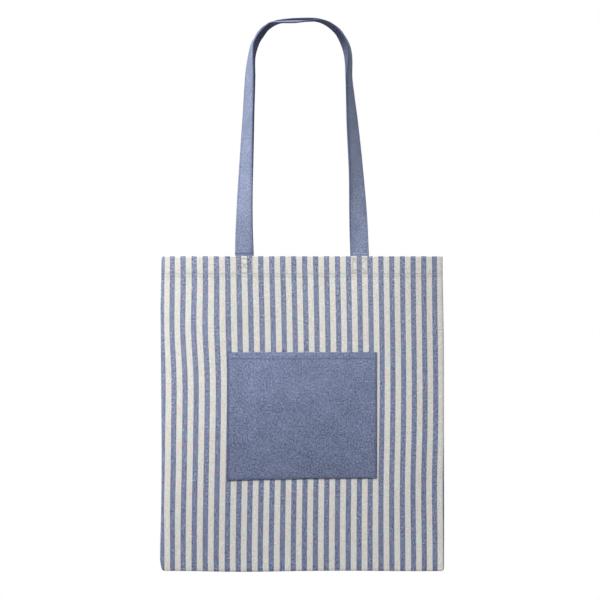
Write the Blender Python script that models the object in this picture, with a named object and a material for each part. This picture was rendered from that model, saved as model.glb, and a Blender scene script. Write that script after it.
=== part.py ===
"""Canvas tote bag with a front pocket and two loop handles, hanging from its handles.

Units are metres and +Z is up. The origin is level with the underside of the back handle's crown,
midway between the two handles, where a hook, a peg or a hand carries the bag. The front of the bag
faces -Y.
"""

import math

import bmesh
import bpy
from mathutils import Vector
from mathutils.geometry import interpolate_bezier

# Bag body
BAG_WIDTH = 0.380
BAG_HEIGHT = 0.421
MOUTH_HALF_DEPTH = 0.019      # how far each panel bows out of the middle plane at the mouth
FLAT_HALF_WIDTH = 0.092       # the handles hold the panel flat over this much each side of its middle
CANVAS = 0.0008               # one layer of canvas
HEM_HEIGHT = 0.027            # depth of the hem turned in at the mouth
HEM_LAYERS = 3
SIDE_SWELL = 0.0014           # half of the room that a seam allowance takes up inside the edge
EDGE_HALF = 0.0005            # half thickness left at the very edge of a panel
CORNER_RADIUS = 0.004         # rounding of the bottom corners and of the pressed edges
GAP = 0.0003                  # room between pieces that touch
MID_GAP = 0.0002              # each panel's distance from the middle plane at the edges
LEDGE = 0.0006                # run over which a fold's extra layers begin
PANEL_EDGE_STEPS = (0.0, 0.0006, 0.0018, CORNER_RADIUS, 0.012)   # insets that follow the rounding
PANEL_ROWS = 9
HEM_ROWS = 2
PANEL_SIDE_COLUMNS = 7        # between each edge and the flat middle

# Seam allowances, inside the bag
ALLOWANCE_WIDTH = 0.009
ALLOWANCE_HALF_THICKNESS = 0.0009
ALLOWANCE_INSET = 0.0022
ALLOWANCE_SECTION = ((-1.0, 0.4), (-0.7, 1.0), (0.7, 1.0), (1.0, 0.4))   # shares across, and thick
ALLOWANCE_RUNS = 3
ALLOWANCE_END_GAP = 0.001     # from a seam allowance's end to the hem or to the next allowance

# Pocket
POCKET_WIDTH = 0.200
POCKET_HEIGHT = 0.170
POCKET_DROP = 0.128           # from the bag's top edge to the pocket's
POCKET_CLOTH = 0.0007
POCKET_HEM_HEIGHT = 0.011
POCKET_SWELL = 0.0075         # how far the pocket stands off the panel, in the middle of its top
POCKET_SEWN_MARGIN = 0.004
POCKET_TURN_IN = 0.010        # width of the edges turned in behind the pocket
POCKET_ROWS = 6
POCKET_COLUMNS = 10

# Handles
HANDLE_RISE = 0.3186          # from the bag's top edge to the top of the back handle's crown
TAPE_WIDTH = 0.0245
TAPE = 0.0020                 # thickness of the folded tape
HANDLE_CENTRE_X = 0.0771
CROWN_HALF_SPREAD = 0.0129    # each handle's distance from the middle plane at the crown
TAPE_END_LENGTH = 0.0255      # length of tape sewn inside the hem
TAPE_END_CLEARANCE = 0.0008   # from the hinge line to the sewn end and to the free tape

# Stitching
THREAD_WIDTH = 0.0007
THREAD = 0.0004
HEM_STITCH_DROP = 0.0235
POCKET_HEM_STITCH_DROP = 0.009
POCKET_EDGE_STITCH_INSET = 0.002
BOX_SIZE = 0.0195             # sewn box with a cross in it, on each tape end
BOX_DROP = 0.0030
HEM_THREAD_END = 0.0030       # from a hem's last stitch to the bag's side
POCKET_THREAD_END = 0.0010    # from the pocket's border stitches to its top edge
POCKET_HEM_THREAD_END = 0.0015
EDGE_STITCH_INSET = 0.0028
EDGE_STITCH_GAP = 0.0005      # a twisted tape needs more room under its stitches than flat cloth

# Places worked out from the dimensions above
TOP_Z = TAPE - HANDLE_RISE
BOTTOM_Z = TOP_Z - BAG_HEIGHT
POCKET_TOP_Z = TOP_Z - POCKET_DROP
POCKET_BOTTOM_Z = POCKET_TOP_Z - POCKET_HEIGHT
FRONT, BACK = -1, 1

# The middle of each handle's tape, from its left foot over the crown to its right foot. Each row has
# x, the height above the bag's top edge, and how far the tape has turned out of the panel's plane.
HANDLE_ROUTES = {
    FRONT: (
        (-HANDLE_CENTRE_X, TAPE_END_CLEARANCE, 0),
        (-0.0772, 0.040, 23),
        (-0.0756, 0.098, 38),
        (-0.0722, 0.182, 54),
        (-0.0699, 0.240, 62),
        (-0.0680, 0.268, 74),
        (-0.0640, 0.2880, 84),
        (-0.0453, 0.3100, 86),
        (-0.0300, 0.3126, 83),
        (-0.0100, 0.3130, 82),
        (0.0080, 0.3140, 87),
        (0.0290, 0.3142, 89),
        (0.0450, 0.3062, 87),
        (0.0594, 0.2880, 84),
        (0.0640, 0.270, 80),
        (0.0629, 0.236, 71),
        (0.0673, 0.182, 56),
        (0.0736, 0.098, 39),
        (HANDLE_CENTRE_X, TAPE_END_CLEARANCE, 0),
    ),
    BACK: (
        (-HANDLE_CENTRE_X, TAPE_END_CLEARANCE, 0),
        (-0.0774, 0.040, 23),
        (-0.0757, 0.098, 39),
        (-0.0716, 0.182, 54),
        (-0.0690, 0.240, 62),
        (-0.0672, 0.268, 70),
        (-0.0612, 0.2875, 72),
        (-0.0547, 0.2985, 71),
        (-0.0455, 0.3080, 77),
        (-0.0300, 0.3148, 84),
        (-0.0010, HANDLE_RISE - TAPE / 2, 86),
        (0.0250, 0.3156, 84),
        (0.0460, 0.3032, 74),
        (0.0562, 0.2870, 70),
        (0.0612, 0.268, 72),
        (0.0630, 0.236, 71),
        (0.0671, 0.182, 56),
        (0.0728, 0.098, 39),
        (HANDLE_CENTRE_X, TAPE_END_CLEARANCE, 0),
    ),
}
ROUTE_STEPS = 6
DEGREES_PER_METRE = 1000      # lets a turn in degrees be smoothed together with the route's lengths


# ---------------------------------------------------------------------------------------- helpers

def clear_scene():
    for old in list(bpy.data.objects):
        bpy.data.objects.remove(old, do_unlink=True)


def make_material(name, colour, roughness):
    material = bpy.data.materials.new(name)
    material.use_nodes = True
    shader = material.node_tree.nodes["Principled BSDF"]
    shader.inputs["Base Color"].default_value = (*colour, 1.0)
    shader.inputs["Roughness"].default_value = roughness
    shader.inputs["Metallic"].default_value = 0.0
    return material


def make_object(name, mesh_data, material, parent=None):
    """Adds a closed mesh, given as world points and faces, and turns its faces outward."""
    points, faces = mesh_data
    origin = parent.location if parent else Vector()
    shape = bmesh.new()
    corners = [shape.verts.new(Vector(point) - origin) for point in points]
    for face in faces:
        shape.faces.new([corners[index] for index in face])
    bmesh.ops.recalc_face_normals(shape, faces=shape.faces)
    mesh = bpy.data.meshes.new(name)
    shape.to_mesh(mesh)
    shape.free()
    mesh.materials.append(material)
    mesh.shade_smooth()
    mesh.set_sharp_from_angle(angle=math.radians(35))
    piece = bpy.data.objects.new(name, mesh)
    piece.parent = parent
    bpy.context.scene.collection.objects.link(piece)
    return piece


def make_hinge(name, location):
    """An empty on a handle's hinge line, which carries the handle's pieces."""
    empty = bpy.data.objects.new(name, None)
    empty.location = location
    bpy.context.scene.collection.objects.link(empty)
    return empty


def loft(rings):
    """Closed skin through rings of equal length, with the first and last ring capped."""
    size = len(rings[0])
    points = [point for ring in rings for point in ring]
    faces = []
    for row in range(len(rings) - 1):
        low, high = row * size, (row + 1) * size
        for index in range(size):
            after = (index + 1) % size
            faces.append((low + index, low + after, high + after, high + index))
    return points, faces + strip_cap(0, size) + strip_cap(len(points) - size, size)


def strip_cap(first, size):
    """Quads across a ring whose second half runs back along its first half."""
    faces = []
    for index in range(size // 2 - 1):
        faces.append((first + index, first + index + 1,
                      first + size - 2 - index, first + size - 1 - index))
    return faces


def spread(start, end, count):
    return [start + (end - start) * step / count for step in range(count + 1)]


# -------------------------------------------------------------------------------------- bag shape

def half_width(z):
    """Half of the bag's width at height z, with its bottom corners rounded."""
    rise = min(z - BOTTOM_Z, CORNER_RADIUS)
    return BAG_WIDTH / 2 - CORNER_RADIUS + math.sqrt(CORNER_RADIUS ** 2 - (CORNER_RADIUS - rise) ** 2)


def panel_depth(x, z):
    """Distance from the bag's middle plane to the outside of a panel."""
    height = (z - BOTTOM_Z) / BAG_HEIGHT
    beside = max(0.0, abs(x) - FLAT_HALF_WIDTH) / (BAG_WIDTH / 2 - FLAT_HALF_WIDTH)
    bow = MOUTH_HALF_DEPTH * height * (2 - height) * math.cos(math.pi / 2 * min(1.0, beside))
    inset = max(0.0, min(half_width(z) - abs(x), z - BOTTOM_Z, CORNER_RADIUS)) / CORNER_RADIUS
    rounding = math.sqrt(1 - (1 - inset) ** 2)
    return MID_GAP + EDGE_HALF + (SIDE_SWELL + CANVAS - EDGE_HALF) * rounding + bow


def pocket_depth(x, z):
    """Distance from the bag's middle plane to the outside of the pocket."""
    across = min(1.0, abs(x) / (POCKET_WIDTH / 2 - POCKET_SEWN_MARGIN))
    up = (z - POCKET_BOTTOM_Z - POCKET_SEWN_MARGIN) / (POCKET_HEIGHT - POCKET_SEWN_MARGIN)
    up = max(0.0, up)
    swell = POCKET_SWELL * (1 - across ** 2) * up * (2 - up)
    return panel_depth(x, z) + GAP + swell + 2 * POCKET_CLOTH


def pocket_thickness(x, z):
    """Two layers of cloth in the hem and where the edges are turned in, one in the middle."""
    turned_in = min(POCKET_WIDTH / 2 - abs(x), z - POCKET_BOTTOM_Z) < POCKET_TURN_IN
    hemmed = z > POCKET_TOP_Z - POCKET_HEM_HEIGHT
    return POCKET_CLOTH * (2 if turned_in or hemmed else 1)


def panel_thickness(z):
    return CANVAS * (HEM_LAYERS if z > TOP_Z - HEM_HEIGHT else 1)


# ----------------------------------------------------------------------------------------- panels

def panel_mesh(side):
    """One panel with its hem: a sheet that bows out and closes on the middle plane at its edges."""
    hem_low = TOP_Z - HEM_HEIGHT
    levels = [BOTTOM_Z + step for step in PANEL_EDGE_STEPS]
    levels += spread(levels.pop(), hem_low - LEDGE / 2, PANEL_ROWS)
    levels += spread(hem_low + LEDGE / 2, TOP_Z, HEM_ROWS)
    rings = []
    for z in levels:
        half = half_width(z)
        left = [-half + step for step in PANEL_EDGE_STEPS]
        left += spread(left.pop(), -FLAT_HALF_WIDTH, PANEL_SIDE_COLUMNS)
        columns = left + [-FLAT_HALF_WIDTH / 3, FLAT_HALF_WIDTH / 3] + [-x for x in reversed(left)]
        outer = [(x, side * panel_depth(x, z), z) for x in columns]
        inner = []
        for x in reversed(columns):
            depth = max(MID_GAP, panel_depth(x, z) - panel_thickness(z))
            inner.append((x, side * depth, z))
        rings.append(outer + inner)
    return loft(rings)


def pocket_mesh():
    """Patch pocket: sewn flat along its sides and bottom, standing off the panel at its top."""
    half = POCKET_WIDTH / 2
    hem_low = POCKET_TOP_Z - POCKET_HEM_HEIGHT
    edge_steps = [0.0, POCKET_SEWN_MARGIN, POCKET_TURN_IN - LEDGE / 2, POCKET_TURN_IN + LEDGE / 2]
    columns = [step - half for step in edge_steps]
    columns += spread(columns.pop(), half - edge_steps[-1], POCKET_COLUMNS)[:-1]
    columns += [half - step for step in reversed(edge_steps)]
    levels = [POCKET_BOTTOM_Z + step for step in edge_steps]
    levels += spread(levels.pop(), hem_low - LEDGE / 2, POCKET_ROWS)
    levels += [hem_low + LEDGE / 2, POCKET_TOP_Z]
    rings = []
    for z in levels:
        outer = [(x, FRONT * pocket_depth(x, z), z) for x in columns]
        inner = []
        for x in reversed(columns):
            inner.append((x, FRONT * (pocket_depth(x, z) - pocket_thickness(x, z)), z))
        rings.append(outer + inner)
    return loft(rings)


def allowance_mesh(start, end):
    """Seam allowance: a flat strip with a rounded section, running from start to end."""
    start, end = Vector(start), Vector(end)
    across = (end - start).cross(Vector((0, 1, 0))).normalized() * ALLOWANCE_WIDTH / 2
    rings = []
    for share in spread(0, 1, ALLOWANCE_RUNS):
        ring = []
        for side in (1, -1):
            for step, thick in ALLOWANCE_SECTION:
                skin = Vector((0, side * thick * ALLOWANCE_HALF_THICKNESS, 0))
                ring.append(start.lerp(end, share) + across * step * side + skin)
        rings.append(ring)
    return loft(rings)


def build_bag(canvas, chambray, overlock):
    make_object("front_panel", panel_mesh(FRONT), canvas)
    make_object("back_panel", panel_mesh(BACK), canvas)
    make_object("front_pocket", pocket_mesh(), chambray)
    seam_x = BAG_WIDTH / 2 - ALLOWANCE_INSET - ALLOWANCE_WIDTH / 2
    seam_low = BOTTOM_Z + ALLOWANCE_INSET
    seam_high = TOP_Z - HEM_HEIGHT - ALLOWANCE_END_GAP
    for name, side in (("left", -1), ("right", 1)):
        strip = allowance_mesh((side * seam_x, 0, seam_low), (side * seam_x, 0, seam_high))
        make_object(f"{name}_side_seam", strip, overlock)
    bottom_x = seam_x - ALLOWANCE_WIDTH / 2 - ALLOWANCE_END_GAP
    bottom_z = seam_low + ALLOWANCE_WIDTH / 2
    strip = allowance_mesh((-bottom_x, 0, bottom_z), (bottom_x, 0, bottom_z))
    make_object("bottom_seam", strip, overlock)


# ---------------------------------------------------------------------------------------- threads

def lift(depth, side, x, z, height):
    """A point at height above the cloth whose outside is given by depth."""
    return Vector((x, side * (depth(x, z) + height), z))


def stitch_line_mesh(depth, side, corners, step=0.010):
    """A line of stitches on the cloth, as a flat cord along straight runs between corners."""
    path = []
    for (x0, z0), (x1, z1) in zip(corners, corners[1:]):
        count = max(1, round(math.hypot(x1 - x0, z1 - z0) / step))
        path += list(zip(spread(x0, x1, count), spread(z0, z1, count)))[:-1]
    path.append(corners[-1])
    rings = []
    for index, (x, z) in enumerate(path):
        before = Vector(path[max(0, index - 1)])
        after = Vector(path[min(len(path) - 1, index + 1)])
        here = Vector((x, z))
        run_in = (here - before).normalized() if index else (after - here).normalized()
        run_out = (after - here).normalized() if index < len(path) - 1 else run_in
        along = (run_in + run_out).normalized()
        mitre = THREAD_WIDTH / 2 / along.dot(run_in)
        across = Vector((-along.y, along.x)) * mitre
        left, right = here + across, here - across
        rings.append([
            lift(depth, side, left.x, left.y, GAP),
            lift(depth, side, right.x, right.y, GAP),
            lift(depth, side, right.x, right.y, GAP + THREAD),
            lift(depth, side, left.x, left.y, GAP + THREAD),
        ])
    return loft(rings)


def boxed_cross_mesh(side, centre_x):
    """A sewn box with a cross in it, as one flat piece with four three-sided holes."""
    centre_z = TOP_Z - BOX_DROP - BOX_SIZE / 2
    half = BOX_SIZE / 2
    inner = half - THREAD_WIDTH
    notch = THREAD_WIDTH / math.sqrt(2)
    outline = [(-half, -half), (half, -half), (half, half), (-half, half)]
    flat = bmesh.new()
    edges = []
    loops = [outline]
    for turn in range(4):
        cosine, sine = (1, 0, -1, 0)[turn], (0, 1, 0, -1)[turn]
        hole = [(notch - inner, -inner), (inner - notch, -inner), (0.0, -notch)]
        loops.append([(x * cosine - y * sine, x * sine + y * cosine) for x, y in hole])
    for loop in loops:
        corners = [flat.verts.new((x, 0, z)) for x, z in loop]
        for index, corner in enumerate(corners):
            edges.append(flat.edges.new((corner, corners[(index + 1) % len(corners)])))
    bmesh.ops.triangle_fill(flat, edges=edges, use_beauty=True, use_dissolve=False)
    base = list(flat.faces)
    extruded = bmesh.ops.extrude_face_region(flat, geom=base, use_keep_orig=True)
    raised = {item for item in extruded["geom"] if isinstance(item, bmesh.types.BMVert)}
    flat.verts.index_update()
    points = []
    for corner in flat.verts:
        height = GAP + (THREAD if corner in raised else 0.0)
        points.append(lift(panel_depth, side, centre_x + corner.co.x, centre_z + corner.co.z, height))
    faces = [[corner.index for corner in face.verts] for face in flat.faces]
    flat.free()
    return points, faces


def build_hem_threads(thread):
    """The stitches through the bag's hem, and the crossed boxes that hold the handles' ends."""
    reach = BAG_WIDTH / 2 - HEM_THREAD_END
    stitch_z = TOP_Z - HEM_STITCH_DROP
    for name, side in (("front", FRONT), ("back", BACK)):
        line = stitch_line_mesh(panel_depth, side, [(-reach, stitch_z), (reach, stitch_z)])
        make_object(f"{name}_hem_thread", line, thread)
        for place, centre_x in (("left", -HANDLE_CENTRE_X), ("right", HANDLE_CENTRE_X)):
            make_object(f"{name}_{place}_box_thread", boxed_cross_mesh(side, centre_x), thread)


def build_pocket_threads(thread):
    """The stitches that hold the pocket on the bag, and those through the pocket's hem."""
    side_x = POCKET_WIDTH / 2 - POCKET_EDGE_STITCH_INSET
    low_z = POCKET_BOTTOM_Z + POCKET_EDGE_STITCH_INSET
    high_z = POCKET_TOP_Z - POCKET_THREAD_END
    border = [(-side_x, high_z), (-side_x, low_z), (side_x, low_z), (side_x, high_z)]
    make_object("pocket_edge_thread", stitch_line_mesh(pocket_depth, FRONT, border), thread)
    hem_z = POCKET_TOP_Z - POCKET_HEM_STITCH_DROP
    hem_x = side_x - POCKET_HEM_THREAD_END
    line = stitch_line_mesh(pocket_depth, FRONT, [(-hem_x, hem_z), (hem_x, hem_z)])
    make_object("pocket_hem_thread", line, thread)


# ---------------------------------------------------------------------------------------- handles

def foot_depth():
    """Distance from the middle plane to the outside of the hem at the handles' feet."""
    return panel_depth(HANDLE_CENTRE_X, TOP_Z)


def smooth_route(rows):
    """Points along a smooth curve through rows of equal length, each row a point in 3-D."""
    points = [Vector(row) for row in rows]
    slopes = []
    for index in range(len(points)):
        before, after = points[max(0, index - 1)], points[min(len(points) - 1, index + 1)]
        slopes.append((after - before).normalized())
    route = []
    for index in range(len(points) - 1):
        start, end = points[index], points[index + 1]
        reach = (end - start).length / 3
        run = interpolate_bezier(start, start + slopes[index] * reach,
                                 end - slopes[index + 1] * reach, end, ROUTE_STEPS + 1)
        route += run[:-1]
    return route + [points[-1]]


def tape_stations(side):
    """Middle point, width direction and thickness direction of a handle's tape along its loop."""
    foot_y = foot_depth() - panel_thickness(TOP_Z) - GAP - TAPE / 2
    rows = [(x, turn / DEGREES_PER_METRE, height) for x, height, turn in HANDLE_ROUTES[side]]
    route = smooth_route(rows)
    stations = []
    for index, point in enumerate(route):
        before, after = route[max(0, index - 1)], route[min(len(route) - 1, index + 1)]
        along = Vector((after.x - before.x, 0, after.z - before.z)).normalized()
        if index in (0, len(route) - 1):
            along = Vector((0, 0, 1 if index == 0 else -1))
        inward = Vector((along.z, 0, -along.x))
        turn = math.radians(point.y * DEGREES_PER_METRE)
        width_way = inward * math.cos(turn) + Vector((0, side, 0)) * math.sin(turn)
        depth = foot_y + (CROWN_HALF_SPREAD - foot_y) * point.z / HANDLE_RISE
        middle = Vector((point.x, side * depth, TOP_Z + point.z))
        stations.append((middle, width_way, along.cross(width_way).normalized()))
    return stations


def tape_section(station, width_low, width_high, skin_low, skin_high):
    middle, width_way, skin_way = station
    return [
        middle + width_way * width_low + skin_way * skin_low,
        middle + width_way * width_high + skin_way * skin_low,
        middle + width_way * width_high + skin_way * skin_high,
        middle + width_way * width_low + skin_way * skin_high,
    ]


def free_tape_mesh(side):
    half = TAPE_WIDTH / 2
    return loft([tape_section(station, -half, half, -TAPE / 2, TAPE / 2)
                 for station in tape_stations(side)])


def edge_stitch_mesh(side, edge):
    """A line of stitches along one edge of a handle, on the face that shows from outside."""
    offset = edge * (TAPE_WIDTH / 2 - EDGE_STITCH_INSET)
    low = TAPE / 2 + EDGE_STITCH_GAP
    high = low + THREAD
    if side == FRONT:
        low, high = -high, -low
    return loft([tape_section(station, offset - THREAD_WIDTH / 2, offset + THREAD_WIDTH / 2, low, high)
                 for station in tape_stations(side)[1:-1]])


def tape_end_mesh(side, centre_x):
    """The end of a handle's tape, sewn flat against the inside of the hem."""
    columns = spread(centre_x - TAPE_WIDTH / 2, centre_x + TAPE_WIDTH / 2, 2)
    outside = -panel_thickness(TOP_Z) - GAP
    rings = []
    for z in spread(TOP_Z - TAPE_END_CLEARANCE - TAPE_END_LENGTH, TOP_Z - TAPE_END_CLEARANCE, 2):
        outer = [lift(panel_depth, side, x, z, outside) for x in columns]
        inner = [lift(panel_depth, side, x, z, outside - TAPE) for x in reversed(columns)]
        rings.append(outer + inner)
    return loft(rings)


def build_handles(chambray, thread):
    for name, side in (("front", FRONT), ("back", BACK)):
        hinge_y = side * (foot_depth() - panel_thickness(TOP_Z) / 2)
        hinge = make_hinge(f"{name}_handle_hinge", (0, hinge_y, TOP_Z))
        make_object(f"{name}_handle", free_tape_mesh(side), chambray, hinge)
        for place, edge in (("inner", 1), ("outer", -1)):
            stitch = edge_stitch_mesh(side, edge)
            make_object(f"{name}_handle_{place}_edge_thread", stitch, thread, hinge)
        for place, centre_x in (("left", -HANDLE_CENTRE_X), ("right", HANDLE_CENTRE_X)):
            make_object(f"{name}_handle_{place}_end", tape_end_mesh(side, centre_x), chambray)


def main():
    clear_scene()
    canvas = make_material("striped_canvas", (0.58, 0.57, 0.60), 0.9)
    chambray = make_material("blue_chambray", (0.17, 0.20, 0.32), 0.9)
    natural_thread = make_material("natural_thread", (0.70, 0.68, 0.60), 0.7)
    blue_thread = make_material("blue_thread", (0.15, 0.18, 0.30), 0.7)
    overlock = make_material("overlock_thread", (0.66, 0.64, 0.57), 0.8)
    build_bag(canvas, chambray, overlock)
    build_hem_threads(natural_thread)
    build_pocket_threads(blue_thread)
    build_handles(chambray, blue_thread)


main()
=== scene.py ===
"""Looks of the canvas tote bag: striped canvas, a chambray pocket and handles, and all its stitching.

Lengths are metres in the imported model's frame: the origin is level with the underside of the back
handle's crown, +Z is up and the front of the bag faces -Y. The cloth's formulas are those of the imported
parts, on a finer grid.
"""

import math

import bpy
import numpy as np
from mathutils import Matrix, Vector
from mathutils.geometry import interpolate_bezier


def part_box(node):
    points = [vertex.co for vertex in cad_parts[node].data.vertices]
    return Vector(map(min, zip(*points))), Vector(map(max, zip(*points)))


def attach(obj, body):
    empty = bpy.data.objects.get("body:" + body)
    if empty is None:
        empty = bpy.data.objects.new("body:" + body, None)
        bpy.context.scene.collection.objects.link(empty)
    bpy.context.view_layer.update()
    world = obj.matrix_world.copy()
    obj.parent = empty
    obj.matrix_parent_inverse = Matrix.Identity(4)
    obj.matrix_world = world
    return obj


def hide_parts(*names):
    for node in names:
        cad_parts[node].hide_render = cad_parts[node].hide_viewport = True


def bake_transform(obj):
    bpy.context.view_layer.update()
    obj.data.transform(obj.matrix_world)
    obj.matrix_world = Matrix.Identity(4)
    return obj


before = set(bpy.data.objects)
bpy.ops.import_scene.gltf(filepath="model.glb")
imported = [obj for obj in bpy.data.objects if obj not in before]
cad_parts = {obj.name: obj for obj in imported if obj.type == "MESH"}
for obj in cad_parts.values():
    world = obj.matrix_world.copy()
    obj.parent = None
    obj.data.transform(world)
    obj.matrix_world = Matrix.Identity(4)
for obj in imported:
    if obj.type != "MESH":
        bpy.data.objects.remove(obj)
scene = bpy.context.scene
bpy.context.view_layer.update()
FRONT, BACK = -1, 1
OUTWARD = np.array([0, 1.0, 0])


def middle_z(node):
    low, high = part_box(node)
    return (low.z + high.z) / 2


def box_place(node):
    """Centre x, centre z and half size of a sewn box."""
    low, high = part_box(node)
    return (low.x + high.x) / 2, (low.z + high.z) / 2, (high.x - low.x) / 2


# Bag body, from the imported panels
panel_low, panel_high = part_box("front_panel")
HALF_WIDTH, TOP_Z, BOTTOM_Z = panel_high.x, panel_high.z, panel_low.z
BAG_HEIGHT = TOP_Z - BOTTOM_Z
MOUTH_HALF_DEPTH = 0.019
FLAT_HALF_WIDTH = 0.092       # the bow fades from here out to the side seams
CANVAS = 0.0008
HEM_HEIGHT = 0.027
HEM_LAYERS = 3
HEM = HEM_LAYERS * CANVAS
HEM_LOW_Z = TOP_Z - HEM_HEIGHT
SIDE_SWELL = 0.0014
EDGE_HALF = 0.0005            # half of a panel's thickness at its pressed edges
CORNER_RADIUS = 0.004
GAP = 0.0003                  # between two cloths that touch
MID_GAP = 0.0002              # from the middle plane to either panel

# Pocket
pocket_low, pocket_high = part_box("front_pocket")
POCKET_HALF_WIDTH, POCKET_TOP_Z, POCKET_BOTTOM_Z = pocket_high.x, pocket_high.z, pocket_low.z
POCKET_CLOTH = 0.0007
POCKET_HEM_HEIGHT = 0.011
POCKET_SWELL = 0.0075
POCKET_SEWN_MARGIN = 0.004
POCKET_TURN_IN = 0.010
POCKET_LEFT_DROP = 0.0034     # the pocket's bottom edge was sewn on this much lower at its left corner
POCKET_RIGHT_LIFT = 0.0013

# Fine rows at the edges of a cloth, as distances from the edge
PANEL_SIDE_STEPS = np.array([0.0001, 0.0003, 0.0007])
PANEL_FOOT_STEPS = np.array([0, 0.0001, 0.0003, 0.0007, 0.0013, 0.0022, 0.0035, 0.0052])
POCKET_SIDE_STEPS = np.array([0, 0.00008, 0.00025, 0.0005, 0.0008, 0.0012, 0.0018])
POCKET_INNER_STEPS = np.array([0.0012, 0.0007, 0.0003, 0.0001])

# Handles
end_low, end_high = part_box("front_handle_left_end")
TAPE_WIDTH = end_high.x - end_low.x
HANDLE_CENTRE_X = -(end_high.x + end_low.x) / 2
TAPE = 0.0020
HANDLE_RISE = TAPE - TOP_Z
CROWN_HALF_SPREAD = 0.0129
TAPE_END_LENGTH = 0.0255
TAPE_END_CLEARANCE = 0.0008
SEWN_END = TAPE_END_LENGTH + TAPE_END_CLEARANCE
HANDLE_ROUTES = {             # rows of x, height above the bag's top edge, and turn in degrees
    FRONT: (
        (-HANDLE_CENTRE_X, TAPE_END_CLEARANCE, 0), (-0.0772, 0.040, 23), (-0.0756, 0.098, 38),
        (-0.0722, 0.182, 54), (-0.0699, 0.240, 62), (-0.0680, 0.268, 74),
        (-0.0640, 0.2880, 84), (-0.0453, 0.3100, 86), (-0.0300, 0.3126, 83),
        (-0.0100, 0.3130, 82), (0.0080, 0.3140, 87), (0.0290, 0.3142, 89),
        (0.0450, 0.3062, 87), (0.0594, 0.2880, 84), (0.0640, 0.270, 80),
        (0.0629, 0.236, 71), (0.0673, 0.182, 56), (0.0736, 0.098, 39),
        (HANDLE_CENTRE_X, TAPE_END_CLEARANCE, 0),
    ),
    BACK: (
        (-HANDLE_CENTRE_X, TAPE_END_CLEARANCE, 0), (-0.0774, 0.040, 23), (-0.0757, 0.098, 39),
        (-0.0716, 0.182, 54), (-0.0690, 0.240, 62), (-0.0672, 0.268, 70),
        (-0.0612, 0.2875, 72), (-0.0547, 0.2985, 71), (-0.0455, 0.3080, 77),
        (-0.0300, 0.3148, 84), (-0.0010, HANDLE_RISE - TAPE / 2, 86), (0.0250, 0.3156, 84),
        (0.0460, 0.3032, 74), (0.0562, 0.2870, 70), (0.0612, 0.268, 72),
        (0.0630, 0.236, 71), (0.0671, 0.182, 56), (0.0728, 0.098, 39),
        (HANDLE_CENTRE_X, TAPE_END_CLEARANCE, 0),
    ),
}
ROUTE_STEPS = 24
DEGREES_PER_METRE = 1000      # scale of a turn where it stands in for a route's third axis
FOOT_ROW_PLACE = SEWN_END + 0.0034      # of the stitches across each tape, just above the bag's top edge

# Stitching
BOXES = {name: box_place(f"front_{name}_box_thread") for name in ("left", "right")}
HEM_STITCH_Z = middle_z("front_hem_thread")
POCKET_STITCH_Z = middle_z("pocket_hem_thread")
STITCH_GAP = 0.0004           # cloth between the holes of two stitches
STITCH_WANDER = 0.00004
HEM_PITCH = 2 * HALF_WIDTH / 126
POCKET_PITCH = 0.0026
BOX_PITCH = 0.0024
TAPE_PITCH = 0.0027
FOOT_ROW_PITCH = 0.0029
OVERLOCK_PITCH = 0.0021
THREAD_WIDTH = 0.00062
OVERLOCK_RADIUS = 0.00016
POCKET_EDGE_INSET = 0.002
TAPE_EDGE_INSET = 0.0028
FOOT_ROW_INSET = 0.0022
STITCH_ALONG = np.array([0.0, 0.10, 0.30, 0.50, 0.70, 0.90, 1.0])
STITCH_TAPER = np.array([0.45, 0.85, 1.0, 1.0, 1.0, 0.85, 0.45])
STITCH_HEIGHT = np.array([-0.9, 0.15, 0.85, 1.0, 0.85, 0.15, -0.9])
STITCH_SIDES = 7

# Section of a seam allowance: shares of its width and of its half thickness
ALLOWANCE_SECTION = np.array([
    (-0.5, 0.3), (-0.35, 0.85), (0.3, 0.9), (0.47, 0.85), (0.5, 0.25), (0.46, 0.0),
    (0.5, -0.25), (0.47, -0.85), (0.3, -0.9), (-0.35, -0.85), (-0.5, -0.3),
])

# Stripes woven into the canvas
STRIPE_PERIOD = 0.01461
STRIPE_WIDTH = 0.00700
STRIPE_CENTRE = 0.0035        # middle of the blue stripe nearest the bag's middle
STRIPE_PULLS = (              # x, drop below the top edge, reach along both, and how far they are pulled
    (-0.150, 0.098, 0.050, 0.048, -0.0030),
    (-0.190, 0.000, 0.014, 0.035, 0.0022),
    (-0.190, 0.100, 0.008, 0.060, 0.0008),
    (-0.185, 0.400, 0.016, 0.060, 0.0014),
    (-0.180, 0.290, 0.035, 0.035, 0.0006),
    (0.175, 0.080, 0.060, 0.095, -0.0011),
    (0.175, 0.300, 0.060, 0.045, -0.0010),
    (-0.060, 0.410, 0.080, 0.060, -0.0008),
    (0.140, 0.410, 0.060, 0.045, 0.0005),
)

# Weave and colours
WARP_PITCH = STRIPE_PERIOD / 42
CANVAS_WEFT_PITCH = 0.00042
CHAMBRAY_PITCHES = (0.00036, 0.00040)
TWIST_PITCH = 0.00055
CREAM = ((0.875, 0.785, 0.730, 1.0), (0.800, 0.840, 0.780, 1.0))
STRIPE_BLUE = ((0.056, 0.097, 0.300, 1.0), (0.116, 0.165, 0.365, 1.0))   # darker at the bottom by painted shade, lighter at the top
POCKET_WARP = ((0.070, 0.100, 0.225, 1.0), (0.150, 0.185, 0.345, 1.0))
POCKET_WEFT = (0.330, 0.370, 0.520, 1.0)
HANDLE_WARP = ((0.100, 0.140, 0.290, 1.0), (0.205, 0.248, 0.430, 1.0))
HANDLE_WEFT = (0.435, 0.480, 0.625, 1.0)
PAINTED_SHADE_TINT = (0.06, 0.08, 0.22)       # share of red, green and blue left where the painted shade is deepest
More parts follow.
